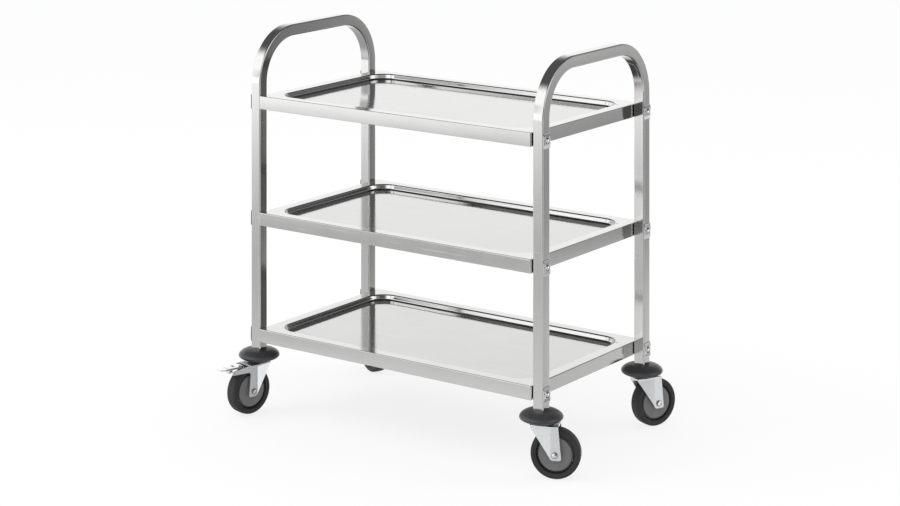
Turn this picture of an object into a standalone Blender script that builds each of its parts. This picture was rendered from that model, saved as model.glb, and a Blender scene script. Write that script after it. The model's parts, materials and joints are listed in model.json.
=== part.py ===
"""Three-tier stainless service trolley, 1:1, metres, +Z up.

Two bent square-tube end frames carry three pressed trays between them. Each tray is
bolted through the legs at its four corners, over a saddle plate on the leg's outer
face. Every leg stands on a round rubber bumper and a swivel caster; the two casters
of the left end have a brake pedal.

The origin is on the floor in the middle of the trolley's footprint as parked. X runs
along the trolley from the left end frame to the right one, -Y is the front long side.
Frames, trays, bolts and casters are laid out from the middle of the two end frames.
"""
import bpy
import bmesh
from math import cos, sin, pi, radians
from mathutils import Vector, Matrix

# ---- driving dimensions ------------------------------------------------------------
FRAMES_X, FRAMES_Y = -0.0157, 0.0178    # middle of the two end frames
LENGTH = 0.754               # over the outer faces of the end frames
WIDTH = 0.408                # over the legs of one end frame
HEIGHT = 0.820               # floor to the top of the handles
TUBE = 0.025                 # side of the square tube
LEG_END = 0.1343             # height of the open lower ends of the legs
LEG_X = LENGTH / 2 - TUBE / 2
LEG_Y = WIDTH / 2 - TUBE / 2
CLEAR = 0.0003               # gap kept between neighbouring pieces

TRAY_LENGTH = 0.7015
SHEET = 0.001                # thickness of the tray sheet
LOWEST_TRAY_TOP = 0.180
TRAY_PITCH = 0.250
TRAY_TOPS = {
    level: LOWEST_TRAY_TOP + i * TRAY_PITCH for i, level in enumerate(("bottom", "middle", "top"))
}

BOLT_DROP = 0.0155           # bolt axis below the tray's top
SHANK_R = 0.003
BOLT_SIDES = 8               # segments of the bolts, their holes and the other small holes

# ---- start clean -------------------------------------------------------------------
for old in list(bpy.data.objects):
    bpy.data.objects.remove(old, do_unlink=True)


# ---- materials ---------------------------------------------------------------------
def material(name, color, roughness, metallic):
    mat = bpy.data.materials.new(name)
    mat.use_nodes = True
    shader = mat.node_tree.nodes["Principled BSDF"]
    shader.inputs["Base Color"].default_value = (*color, 1.0)
    shader.inputs["Roughness"].default_value = roughness
    shader.inputs["Metallic"].default_value = metallic
    mat.diffuse_color = (*color, 1.0)
    return mat


STEEL = material("brushed_stainless", color=(0.72, 0.72, 0.72), roughness=0.28, metallic=1.0)
POLISHED = material("polished_sheet", color=(0.78, 0.78, 0.77), roughness=0.22, metallic=1.0)
BRIGHT = material("bright_bolt", color=(0.80, 0.80, 0.80), roughness=0.12, metallic=1.0)
ZINC = material("zinc_plate", color=(0.70, 0.71, 0.73), roughness=0.35, metallic=1.0)
RUBBER = material("bumper_rubber", color=(0.06, 0.06, 0.07), roughness=0.65, metallic=0.0)
TYRE = material("tyre_rubber", color=(0.05, 0.05, 0.05), roughness=0.75, metallic=0.0)
HUB = material("hub_plastic", color=(0.16, 0.16, 0.17), roughness=0.6, metallic=0.0)

SHARP_ANGLE = radians(35.0)  # edges steeper than this are shaded sharp


# ---- objects and booleans ----------------------------------------------------------
def place(name, bm, mat, location=(0, 0, 0), heading=0.0):
    """Makes one object of a bmesh; the bmesh's own origin goes to location."""
    bmesh.ops.recalc_face_normals(bm, faces=bm.faces[:])
    mesh = bpy.data.meshes.new(name)
    bm.to_mesh(mesh)
    bm.free()
    mesh.materials.append(mat)
    mesh.shade_smooth()
    mesh.set_sharp_from_angle(angle=SHARP_ANGLE)
    ob = bpy.data.objects.new(name, mesh)
    ob.location = location
    ob.rotation_euler = (0, 0, heading)
    bpy.context.scene.collection.objects.link(ob)
    return ob


def place_helper(name, bm, mat, location, heading=0.0):
    """An object that only feeds a boolean: a wireframe that is not rendered."""
    ob = place(name, bm, mat, location, heading)
    ob.hide_render = True
    ob.display_type = "WIRE"
    return ob


def boolean(ob, modifier_name, operation, other):
    modifier = ob.modifiers.new(modifier_name, "BOOLEAN")
    modifier.operation = operation
    modifier.solver = "EXACT"
    modifier.object = other


def cut(ob, bm, suffix="_drill"):
    """Cuts a bmesh, given in the object's own frame, out of the object."""
    tool = place_helper(ob.name + suffix, bm, STEEL, ob.location, ob.rotation_euler.z)
    boolean(ob, "cut", "DIFFERENCE", tool)
    return tool


# ---- shapes ------------------------------------------------------------------------
def bridge(bm, row, other):
    """Joins two closed rows of vertices with a band of quads."""
    n = len(row)
    for i in range(n):
        j = (i + 1) % n
        bm.faces.new((row[i], row[j], other[j], other[i]))


def loft(bm, rings, caps=(True, True), loop=False):
    """Skins closed rings of equally many points; a loop joins the last to the first."""
    rows = [[bm.verts.new(p) for p in ring] for ring in rings]
    for row, following in zip(rows, rows[1:]):
        bridge(bm, row, following)
    if loop:
        bridge(bm, rows[-1], rows[0])
        return rows
    if caps[0]:
        bm.faces.new(rows[0][::-1])
    if caps[1]:
        bm.faces.new(rows[-1])
    return rows


def turned(profile, count, axis="Z", loop=False):
    """Turns (radius, place along the axis) points; a loop makes a ring-shaped body."""
    bm = bmesh.new()
    rings = []
    for radius, along in profile:
        ring = []
        for i in range(count):
            angle = 2 * pi * i / count
            u, v = radius * cos(angle), radius * sin(angle)
            ring.append({"Z": (u, v, along), "X": (along, u, v), "Y": (v, along, u)}[axis])
        rings.append(ring)
    loft(bm, rings, loop=loop)
    return bm


def mirrored(half_profile):
    """Completes a turned profile that is the same on both sides of its middle."""
    return half_profile + [(radius, -along) for radius, along in reversed(half_profile)]


def round_rect(half_x, half_y, radius, z, steps):
    """Points round a rectangle with rounded corners, counter-clockwise."""
    points = []
    for corner, (sx, sy) in enumerate(((1, 1), (-1, 1), (-1, -1), (1, -1))):
        x, y = sx * (half_x - radius), sy * (half_y - radius)
        for i in range(steps + 1):
            angle = pi / 2 * (corner + i / steps)
            points.append((x + radius * cos(angle), y + radius * sin(angle), z))
    return points


def add_box(bm, low, high):
    middle = [(a + b) / 2 for a, b in zip(low, high)]
    size = [b - a for a, b in zip(low, high)]
    matrix = Matrix.Translation(middle) @ Matrix.Diagonal(size + [1.0])
    bmesh.ops.create_cube(bm, size=1.0, matrix=matrix)


def add_pin(bm, centre, length, radius, axis, count=BOLT_SIDES):
    turn = {
        "X": Matrix.Rotation(pi / 2, 4, "Y"),
        "Y": Matrix.Rotation(pi / 2, 4, "X"),
        "Z": Matrix.Identity(4),
    }[axis]
    bmesh.ops.create_cone(
        bm, cap_ends=True, segments=count, radius1=radius, radius2=radius, depth=length,
        matrix=Matrix.Translation(centre) @ turn,
    )


# ---- end frames --------------------------------------------------------------------
TUBE_WALL = 0.0012
TUBE_CORNER = 0.003
BEND = 0.116                 # outer radius of the handle bends
BEND_STEPS = 7
LEG_DRILL = 0.04             # length of the cutters through the legs


def frame_path():
    """Centre line (y, z, turn) of an end frame, from the front foot over to the back foot."""
    radius = BEND - TUBE / 2
    bend_z = HEIGHT - TUBE / 2 - radius
    path = [(-LEG_Y, LEG_END, 0.0)]
    for bend_y, start in ((-LEG_Y + radius, 0.0), (LEG_Y - radius, pi / 2)):
        for i in range(BEND_STEPS + 1):
            turn = start + pi / 2 * i / BEND_STEPS
            path.append((bend_y - radius * cos(turn), bend_z + radius * sin(turn), turn))
    path.append((LEG_Y, LEG_END, pi))
    return path


def tube_skin(bm, half, corner):
    """One skin of the tube along the frame's path, open at both ends."""
    rings = []
    for y, z, turn in frame_path():
        # the section lies along X and across the tube in the YZ plane
        across = Vector((0, -cos(turn), sin(turn)))
        section = round_rect(half, half, corner, z=0, steps=1)
        rings.append([Vector((u, y, z)) + across * v for u, v, _ in section])
    return loft(bm, rings, caps=(False, False))


def end_frame(name, side):
    bm = bmesh.new()
    outer = tube_skin(bm, TUBE / 2, TUBE_CORNER)
    inner = tube_skin(bm, TUBE / 2 - TUBE_WALL, TUBE_CORNER - TUBE_WALL)
    for end in (0, -1):
        bridge(bm, outer[end], inner[end])
    frame = place(name, bm, STEEL, (FRAMES_X + side * LEG_X, FRAMES_Y, 0))
    holes = bmesh.new()
    for sy in (-1, 1):
        for top in TRAY_TOPS.values():
            add_pin(holes, (0, sy * LEG_Y, top - BOLT_DROP), LEG_DRILL, SHANK_R + CLEAR, "X")
    cut(frame, holes)


end_frame("left_end_frame", -1)
end_frame("right_end_frame", 1)

# ---- trays -------------------------------------------------------------------------
TRAY_WIDTH = 0.416
SKIRT = 0.028                # depth of the folded skirt
SKIRT_CORNER = 0.003         # plan radius at the tray's outer corners
SKIRT_FOLD = 0.0018          # radius of the fold between flange and skirt
FLANGE = 0.0247              # outer edge to the rim of the well
WELL_CORNER = 0.046          # plan radius of the well
WELL_DEPTH = 0.0112
WELL_LIP = 0.0020            # radius at the rim of the well
WELL_FILLET = 0.0030         # radius at the floor of the well
FOLD_STEPS = 2
PLAN_STEPS = 4               # segments round each corner in plan
# small hole in the right end's flange, towards the back, from the tray's middle
FLANGE_HOLE_AT = (0.3270, 0.1525, 0)
FLANGE_HOLE_R = 0.0022
TRAY_DRILL = 0.008           # length of the cutters through the sheet


def tray_face(bm, inward):
    """One face of the sheet, from the skirt's edge to the well's floor.

    inward is 0 for the upper, outer face and the sheet's thickness for the other one.
    """
    angles = [pi / 2 * k / FOLD_STEPS for k in range(FOLD_STEPS + 1)]
    corner = SKIRT_CORNER - inward
    # stations: inset from the outer edge, depth below the top, plan corner radius
    stations = [(inward, SKIRT, corner)]
    fold = SKIRT_FOLD - inward
    for a in angles:
        stations.append((SKIRT_FOLD - fold * cos(a), SKIRT_FOLD - fold * sin(a), corner))
    for a in angles:
        in_plan = (WELL_LIP + inward) * sin(a) - inward
        depth = inward + WELL_LIP - WELL_LIP * cos(a)
        stations.append((FLANGE + in_plan, depth, WELL_CORNER - in_plan))
    for a in angles:
        in_plan = WELL_LIP + WELL_FILLET - (WELL_FILLET + inward) * cos(a)
        depth = WELL_DEPTH - WELL_FILLET + (WELL_FILLET + inward) * sin(a)
        stations.append((FLANGE + in_plan, depth, WELL_CORNER - in_plan))
    rings = [
        round_rect(TRAY_LENGTH / 2 - inset, TRAY_WIDTH / 2 - inset, radius, -depth, PLAN_STEPS)
        for inset, depth, radius in stations
    ]
    return loft(bm, rings, caps=(False, True))


def tray(name, top):
    bm = bmesh.new()
    upper = tray_face(bm, 0.0)
    under = tray_face(bm, SHEET)
    bridge(bm, upper[0], under[0])
    ob = place(name, bm, POLISHED, (FRAMES_X, FRAMES_Y, top))
    holes = bmesh.new()
    for sx in (-1, 1):
        for sy in (-1, 1):
            centre = (sx * TRAY_LENGTH / 2, sy * LEG_Y, -BOLT_DROP)
            add_pin(holes, centre, TRAY_DRILL, SHANK_R + CLEAR, "X")
    add_pin(holes, FLANGE_HOLE_AT, TRAY_DRILL, FLANGE_HOLE_R, "Z")
    cut(ob, holes)


for level, top in TRAY_TOPS.items():
    tray(level + "_tray", top)

# ---- saddle plates and corner bolts ------------------------------------------------
SADDLE_THICK = 0.0025
SADDLE_WIDTH = 0.0245
SADDLE_HEIGHT = 0.031
SADDLE_BEVEL = 0.0008        # on the edges of the outer face
SADDLE_DRILL = 0.01          # length of the cutter through the plate
# domed bolt head: radius, distance outwards from its seat
BOLT_HEAD = [(0.0020, 0.0044), (0.0048, 0.0032), (0.0062, 0.0010), (0.0062, 0.0)]
NUT_R = 0.0055
NUT_THICK = 0.005


def saddle(name, sx, y, z):
    bm = bmesh.new()
    half_y, half_z = SADDLE_WIDTH / 2, SADDLE_HEIGHT / 2
    add_box(bm, (0, -half_y, -half_z), (SADDLE_THICK, half_y, half_z))
    outer_edges = [
        e for e in bm.edges if all(abs(v.co.x - SADDLE_THICK) < 1e-6 for v in e.verts)
    ]
    bmesh.ops.bevel(bm, geom=outer_edges, offset=SADDLE_BEVEL, segments=1, affect="EDGES")
    for v in bm.verts:
        v.co.x *= sx
    plate = place(name, bm, BRIGHT, (FRAMES_X + sx * (LENGTH / 2 + CLEAR), y, z))
    hole = bmesh.new()
    add_pin(hole, (sx * SADDLE_THICK / 2, 0, 0), SADDLE_DRILL, SHANK_R + CLEAR, "X")
    cut(plate, hole)


def corner_bolt(name, sx, y, z):
    """Domed bolt with its nut, laid out outwards from the leg's outer face."""
    seat = CLEAR + SADDLE_THICK + CLEAR
    nut = -(LENGTH - TRAY_LENGTH) / 2 - SHEET - CLEAR
    profile = [(radius, seat + out) for radius, out in BOLT_HEAD]
    profile += [(SHANK_R, seat), (SHANK_R, nut), (NUT_R, nut), (NUT_R, nut - NUT_THICK)]
    bm = turned([(radius, sx * out) for radius, out in profile], BOLT_SIDES, "X")
    place(name, bm, BRIGHT, (FRAMES_X + sx * LENGTH / 2, y, z))


for sx, end in ((-1, "left"), (1, "right")):
    for sy, row in ((-1, "front"), (1, "back")):
        for level, top in TRAY_TOPS.items():
            y, z = FRAMES_Y + sy * LEG_Y, top - BOLT_DROP
            saddle(f"saddle_{row}_{end}_{level}", sx, y, z)
            corner_bolt(f"bolt_{row}_{end}_{level}", sx, y, z)

# ---- casters: each has its swivel axis at x = y = 0 and trails towards its own +X --
# side along X, side along Y, trailing direction in degrees from +X towards +Y, braked
CASTERS = {
    "front_left": (-1, -1, -101.0, True),
    "back_left": (-1, 1, -24.0, True),
    "front_right": (1, -1, 24.5, False),
    "back_right": (1, 1, 67.0, False),
}
TRAIL = 0.0295               # swivel axis to axle
WHEEL_R = 0.050
WHEEL_AT = (TRAIL, 0, WHEEL_R)
CROWN_LOW, CROWN_TOP = 0.1030, 0.1064    # heights of the fork crown's faces
FORK_GAP = 0.0175            # half the clear width between the fork legs
FORK_SHEET = 0.0022
AXLE_R = 0.004
STEM_R = 0.0060
KINGPIN_R = 0.0050
STEM_BORE = STEM_R + CLEAR   # of the bumper and the race
PEDAL_PIVOT = (0.0820, 0, 0.0985)
PEDAL_PIN_R = 0.0020

# plug in the leg, shank through the bumper and race, kingpin: radius, height
STEM = [
    (0.0020, 0.1592), (0.0095, 0.1570), (0.0095, 0.1380), (STEM_R, 0.1376),
    (STEM_R, 0.1068), (KINGPIN_R, 0.1068), (KINGPIN_R, 0.1022), (0.0015, 0.1015),
]

BUMPER_R = 0.044
BUMPER_MID = 0.1196          # height of the widest part
BUMPER_TOP = LEG_END - CLEAR
BUMPER_FLAT_R = 0.0150       # flat top, where the upper curve starts
BUMPER_POWER = 1.15          # above 1 flattens the upper curve a little
BUMPER_UNDER_R = 0.0200      # radius about which the lower curve turns
BUMPER_SAG = 0.0095          # full depth of the lower curve
BUMPER_UNDER_STEPS = 2.6     # steps in a full quarter turn; the lower curve takes two


def bumper_profile():
    points = [(STEM_BORE, BUMPER_TOP), (BUMPER_FLAT_R, BUMPER_TOP)]
    rise = BUMPER_TOP - BUMPER_MID
    for k in (1, 2, 3, 4):
        a = pi / 2 * k / 4
        radius = BUMPER_FLAT_R + (BUMPER_R - BUMPER_FLAT_R) * sin(a)
        points.append((radius, BUMPER_MID + rise * cos(a) ** BUMPER_POWER))
    for k in (1, 2):
        a = pi / 2 * k / BUMPER_UNDER_STEPS
        radius = BUMPER_UNDER_R + (BUMPER_R - BUMPER_UNDER_R) * cos(a)
        points.append((radius, BUMPER_MID - BUMPER_SAG * sin(a)))
    points.append((STEM_BORE, points[-1][1]))
    return points


def race_profile():
    """Bearing race between the bumper's underside and the fork crown."""
    top, bottom = bumper_profile()[-1][1] - CLEAR, CROWN_TOP + CLEAR
    return [
        (STEM_BORE, top), (0.0215, top), (0.0235, top - 0.0016),
        (0.0225, bottom), (STEM_BORE, bottom),
    ]


# ---- fork --------------------------------------------------------------------------
CREASE = 0.0205              # x ahead of which the legs lean inwards
LEAN = 0.12                  # inward shift per metre ahead of the crease
# fork leg from the side: x, height; the last points depend on the brake
LEG_OUTLINE = [
    (-0.0190, CROWN_TOP), (-0.0190, 0.1010), (0.0190, 0.0450), (0.0208, 0.0412),
    (0.0250, 0.0395), (0.0395, 0.0395), (0.0425, 0.0425), (0.0385, 0.0860),
]
PLAIN_END = [(0.0365, CROWN_TOP)]
# arm that reaches back to the pedal's pivot
BRAKED_END = [
    (0.0415, 0.0905), (0.0470, 0.0925), (0.0800, 0.0943), (0.0845, 0.0950), (0.0870, 0.0975),
    (0.0868, 0.1000), (0.0845, 0.1020), (0.0800, 0.1028), (0.0440, CROWN_TOP),
]
CROWN_FRONT = (-0.0235, 0.0060)          # x, half width
CROWN_BETWEEN = [-0.0190, -0.0100, 0.0050, CREASE, 0.0345]    # x, as wide as the legs
CROWN_REAR = (0.0365, 0.0130)            # x, half width
CROWN_INSET = 0.0001         # crown's edge inside the legs' outer faces
FORK_DRILL = 0.06            # length of the cutters across the fork
CROWN_DRILL = 0.012


def fork_half_width(x):
    return FORK_GAP + FORK_SHEET - max(0.0, CREASE - x) * LEAN


def split_at_crease(outline):
    """Adds the points where the outline crosses the crease."""
    points = []
    for (x, z), (next_x, next_z) in zip(outline, outline[1:] + outline[:1]):
        points.append((x, z))
        if (x - CREASE) * (next_x - CREASE) < -1e-12:
            share = (CREASE - x) / (next_x - x)
            points.append((CREASE, z + (next_z - z) * share))
    return points


def fork_leg(side, braked):
    bm = bmesh.new()
    points = split_at_crease(LEG_OUTLINE + (BRAKED_END if braked else PLAIN_END))
    inner = [bm.verts.new((x, side * (fork_half_width(x) - FORK_SHEET), z)) for x, z in points]
    outer = [bm.verts.new((x, side * fork_half_width(x), z)) for x, z in points]
    bridge(bm, inner, outer)
    # two faces on each side of the sheet, so that both stay flat
    on_crease = [i for i, (x, _) in enumerate(points) if abs(x - CREASE) < 1e-9]
    first, last = on_crease[0], on_crease[-1]
    for row in (inner, outer):
        bm.faces.new(row[first:last + 1])
        bm.faces.new(row[last:] + row[:first + 1])
    return bm


def fork_crown():
    """Tapered plate joining the legs."""
    bm = bmesh.new()
    between = [(x, fork_half_width(x) - CROWN_INSET) for x in CROWN_BETWEEN]
    ring = mirrored([CROWN_FRONT] + between + [CROWN_REAR])
    loft(bm, [[(x, y, z) for x, y in ring] for z in (CROWN_LOW, CROWN_TOP)])
    return bm


def fork(name, at, heading, braked):
    """Pressed fork as one sheet body: the crown plate with its two legs joined on."""
    crown = place(name, fork_crown(), ZINC, at, heading)
    for i, side in enumerate((-1, 1)):
        leg = place_helper(f"{name}_leg_{i}", fork_leg(side, braked), ZINC, at, heading)
        boolean(crown, "leg", "UNION", leg)
    holes = bmesh.new()
    add_pin(holes, WHEEL_AT, FORK_DRILL, AXLE_R + CLEAR, "Y", 10)
    crown_middle = (0, 0, (CROWN_LOW + CROWN_TOP) / 2)
    add_pin(holes, crown_middle, CROWN_DRILL, KINGPIN_R + CLEAR, "Z", 12)
    if braked:
        add_pin(holes, PEDAL_PIVOT, FORK_DRILL, PEDAL_PIN_R + CLEAR, "Y")
    cut(crown, holes)
    return crown


# ---- wheel -------------------------------------------------------------------------
WHEEL_HALF = 0.0270 / 2      # half the tyre's width
TREAD_SHOULDER = 0.0052      # width of the slope at each edge of the tread
TYRE_IN = 0.0355             # inner radius of the tyre
RIM_R = TYRE_IN - CLEAR
AXLE_HEAD = FORK_GAP + FORK_SHEET + CLEAR    # inner face of the axle's heads

# half profiles: radius, distance along the axle from the wheel's middle
TYRE_HALF = [
    (TYRE_IN, -0.0108), (0.0395, -WHEEL_HALF), (0.0455, -WHEEL_HALF),
    (WHEEL_R, -WHEEL_HALF + TREAD_SHOULDER),
]
HUB_HALF = [(AXLE_R + CLEAR, -0.0168), (0.0085, -0.0168), (0.0100, -0.0125), (RIM_R, -0.0118)]
AXLE_HALF = [
    (0.0030, -AXLE_HEAD - 0.0042), (0.0065, -AXLE_HEAD - 0.0030), (0.0065, -AXLE_HEAD),
    (AXLE_R, -AXLE_HEAD),
]


def wheel(where, parent):
    for piece, half_profile, count, loop, mat in (
        ("tyre_", TYRE_HALF, 22, True, TYRE),
        ("hub_", HUB_HALF, 22, True, HUB),
        ("axle_", AXLE_HALF, 10, False, ZINC),
    ):
        bm = turned(mirrored(half_profile), count, "Y", loop=loop)
        place(piece + where, bm, mat, WHEEL_AT).parent = parent


# ---- brake pedal -------------------------------------------------------------------
PEDAL_SHEET = 0.0020
# x from the swivel axis, height of the top face, half width
PEDAL_STATIONS = [
    (0.0500, 0.1072, 0.0110), (0.0560, 0.1080, 0.0155), (0.0860, 0.1086, 0.0162),
    (0.0960, 0.1080, 0.0155), (0.1030, 0.1080, 0.0138), (0.1085, 0.1090, 0.0105),
    (0.1125, 0.1104, 0.0062),
]
# opposite corners, from the pivot
WEB_BOX = ((-0.0050, -0.0065, -0.0030), (0.0050, 0.0065, 0.0090))
SLOT_BOX = ((-0.0135, -0.0060, 0.002), (-0.0058, 0.0060, 0.020))
PIN_PROUD = 0.0012           # pivot pin's ends beyond the fork's outer faces


def pedal_plate():
    pivot_x, _, pivot_z = PEDAL_PIVOT
    rings = []
    for along, height, half in PEDAL_STATIONS:
        x, top = along - pivot_x, height - pivot_z
        low = top - PEDAL_SHEET
        rings.append([(x, -half, top), (x, half, top), (x, half, low), (x, -half, low)])
    bm = bmesh.new()
    loft(bm, rings)
    return bm


def pedal(name, parent):
    """Slotted plate over the fork's rear arms with a turned-up toe, and a web down to the
    pivot pin, as one body. Its origin is on the pivot."""
    plate = place(name, pedal_plate(), BRIGHT, PEDAL_PIVOT)
    web = bmesh.new()
    add_box(web, *WEB_BOX)
    rod = bmesh.new()
    add_pin(rod, (0, 0, 0), 2 * (FORK_GAP + FORK_SHEET + PIN_PROUD), PEDAL_PIN_R, "Y")
    pieces = [plate]
    for suffix, bm in (("_web", web), ("_rod", rod)):
        extra = place_helper(name + suffix, bm, BRIGHT, PEDAL_PIVOT)
        boolean(plate, "join", "UNION", extra)
        pieces.append(extra)
    slot = bmesh.new()
    add_box(slot, *SLOT_BOX)
    pieces.append(cut(plate, slot, "_slot"))
    for ob in pieces:
        ob.parent = parent


for where, (sx, sy, heading, braked) in CASTERS.items():
    at = (FRAMES_X + sx * LEG_X, FRAMES_Y + sy * LEG_Y, 0)
    place("stem_" + where, turned(STEM, 12), ZINC, at)
    place("bumper_" + where, turned(bumper_profile(), 20, loop=True), RUBBER, at)
    place("race_" + where, turned(race_profile(), 16, loop=True), ZINC, at)
    caster_fork = fork("fork_" + where, at, radians(heading), braked)
    wheel(where, caster_fork)
    if braked:
        pedal("brake_pedal_" + where, caster_fork)
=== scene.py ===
"""Three-tier stainless service trolley: looks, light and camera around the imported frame."""
import json
from math import pi, sin, cos, tan, radians, atan2, hypot, sqrt

import bmesh
import bpy
from mathutils import Matrix, Vector


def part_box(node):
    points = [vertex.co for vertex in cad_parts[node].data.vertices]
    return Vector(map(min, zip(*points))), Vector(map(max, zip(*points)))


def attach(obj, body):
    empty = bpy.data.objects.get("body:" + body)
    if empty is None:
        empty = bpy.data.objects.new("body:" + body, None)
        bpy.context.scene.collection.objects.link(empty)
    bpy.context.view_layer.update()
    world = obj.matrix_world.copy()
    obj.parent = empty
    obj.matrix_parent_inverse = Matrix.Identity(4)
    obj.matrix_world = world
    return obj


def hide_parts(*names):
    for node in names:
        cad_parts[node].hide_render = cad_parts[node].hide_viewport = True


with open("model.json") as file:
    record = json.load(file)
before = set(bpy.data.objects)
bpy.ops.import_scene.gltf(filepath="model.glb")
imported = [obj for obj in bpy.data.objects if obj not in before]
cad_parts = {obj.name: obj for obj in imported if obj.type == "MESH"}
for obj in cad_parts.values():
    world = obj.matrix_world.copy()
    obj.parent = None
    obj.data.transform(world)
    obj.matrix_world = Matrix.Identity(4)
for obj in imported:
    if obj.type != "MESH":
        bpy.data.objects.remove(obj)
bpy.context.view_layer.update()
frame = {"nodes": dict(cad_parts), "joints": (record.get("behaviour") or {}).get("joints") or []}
JOINTS = {j["name"]: j for j in frame["joints"]}
MM = 0.001


# ======================================================================================
# shader helpers
# ======================================================================================
class Net:
    """Small wrapper for building node trees."""

    def __init__(self, tree):
        self.t = tree
        tree.nodes.clear()

    def n(self, kind, **kw):
        node = self.t.nodes.new(kind)
        for k, v in kw.items():
            setattr(node, k, v)
        return node

    def link(self, a, b):
        self.t.links.new(a, b)

    def put(self, sock, value):
        if isinstance(value, bpy.types.NodeSocket):
            self.link(value, sock)
        else:
            sock.default_value = value

    def math(self, op, a, b=0.0, c=0.0, clamp=False):
        m = self.n("ShaderNodeMath", operation=op, use_clamp=clamp)
        for s, v in zip(m.inputs, (a, b, c)):
            self.put(s, v)
        return m.outputs[0]

    def span(self, v, lo, hi, out_lo=0.0, out_hi=1.0, smooth=True):
        m = self.n("ShaderNodeMapRange", interpolation_type="SMOOTHSTEP" if smooth else "LINEAR", clamp=True)
        self.put(m.inputs["Value"], v)
        for k, x in (("From Min", lo), ("From Max", hi), ("To Min", out_lo), ("To Max", out_hi)):
            self.put(m.inputs[k], x)
        return m.outputs["Result"]

    def ramp(self, fac, stops, mode="LINEAR"):
        r = self.n("ShaderNodeValToRGB")
        r.color_ramp.interpolation = mode
        el = r.color_ramp.elements
        while len(el) > 1:
            el.remove(el[-1])
        for i, (p, c) in enumerate(stops):
            e = el[0] if i == 0 else el.new(p)
            e.position = p
            e.color = (c, c, c, 1) if isinstance(c, (int, float)) else (*c, 1)
        self.put(r.inputs[0], fac)
        return r.outputs[0]

    def noise(self, vec, scale, detail=3.0, rough=0.5, dist=0.0):
        t = self.n("ShaderNodeTexNoise")
        self.put(t.inputs["Vector"], vec)
        t.inputs["Scale"].default_value = scale
        t.inputs["Detail"].default_value = detail
        t.inputs["Roughness"].default_value = rough
        t.inputs["Distortion"].default_value = dist
        return t.outputs[0]

    def scaled(self, vec, scale, rot=(0, 0, 0)):
        m = self.n("ShaderNodeMapping")
        self.put(m.inputs["Vector"], vec)
        m.inputs["Scale"].default_value = scale
        m.inputs["Rotation"].default_value = rot
        return m.outputs[0]

    def mix(self, fac, a, b, blend="MIX"):
        m = self.n("ShaderNodeMix", data_type="RGBA", blend_type=blend)
        self.put(m.inputs[0], fac)
        self.put(m.inputs[6], a)
        self.put(m.inputs[7], b)
        return m.outputs[2]

    def bump(self, height, dist, strength=1.0, normal=None):
        b = self.n("ShaderNodeBump")
        self.put(b.inputs["Height"], height)
        b.inputs["Distance"].default_value = dist
        b.inputs["Strength"].default_value = strength
        if normal is not None:
            self.link(normal, b.inputs["Normal"])
        return b.outputs[0]


def rgb(v, t=(1, 1, 1)):
    return (v * t[0], v * t[1], v * t[2], 1.0)


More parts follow.
